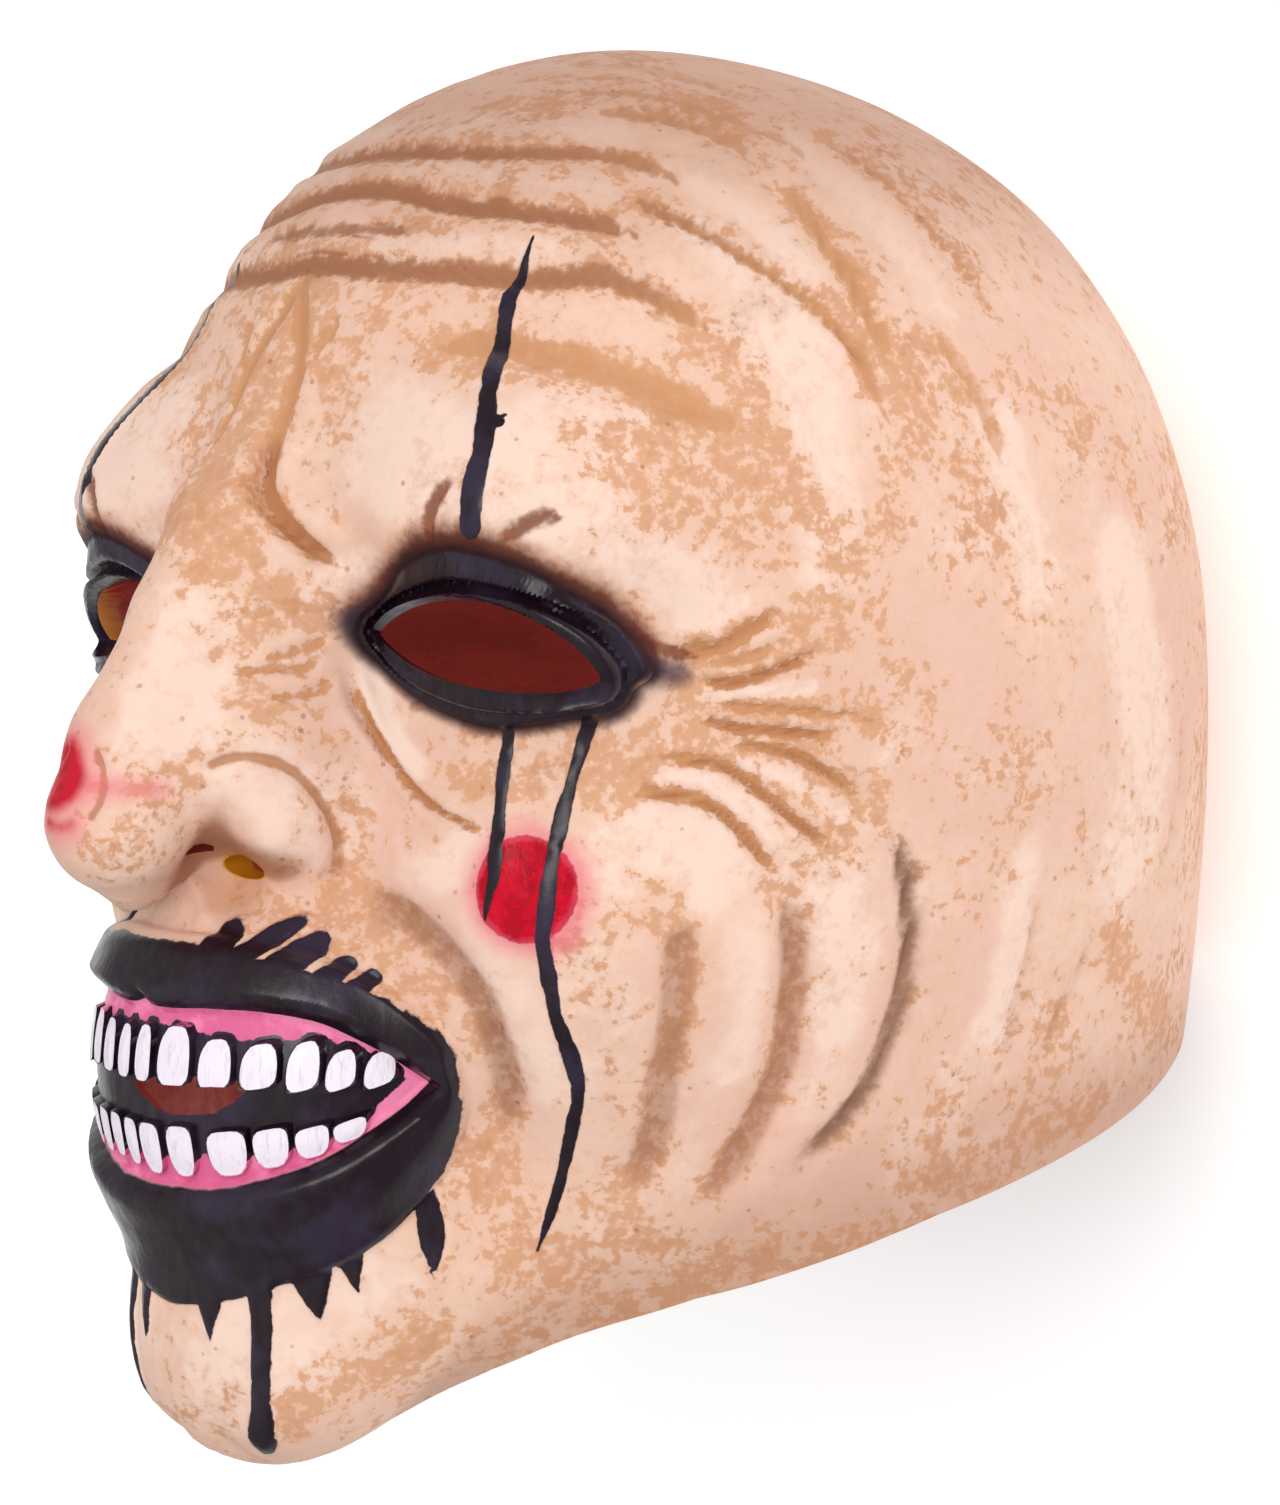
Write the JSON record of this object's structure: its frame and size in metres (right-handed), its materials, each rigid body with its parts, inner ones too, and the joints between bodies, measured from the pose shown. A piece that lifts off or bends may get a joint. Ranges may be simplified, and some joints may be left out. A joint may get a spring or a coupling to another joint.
{
  "type": "latex clown mask",
  "caption": "Full-head latex clown mask with a hooked nose, open eye holes in rolled lids, a wide toothed grin and an open neck.",
  "frame": {"origin": "on the plane that the back of the head lies on, under the middle of the mask's length and width", "axes": "+Z leaves the face, away from the surface the mask lies on; +Y leaves the crown, so the neck opening faces -Y; +X leaves the wearer's left side"},
  "size_m": [0.1918, 0.2498, 0.251],
  "materials": {
    "latex": "matte latex, airbrushed and hand painted"
  },
  "bodies": {
    "root": {"mask_shell": "latex"}
  },
  "joints": []
}
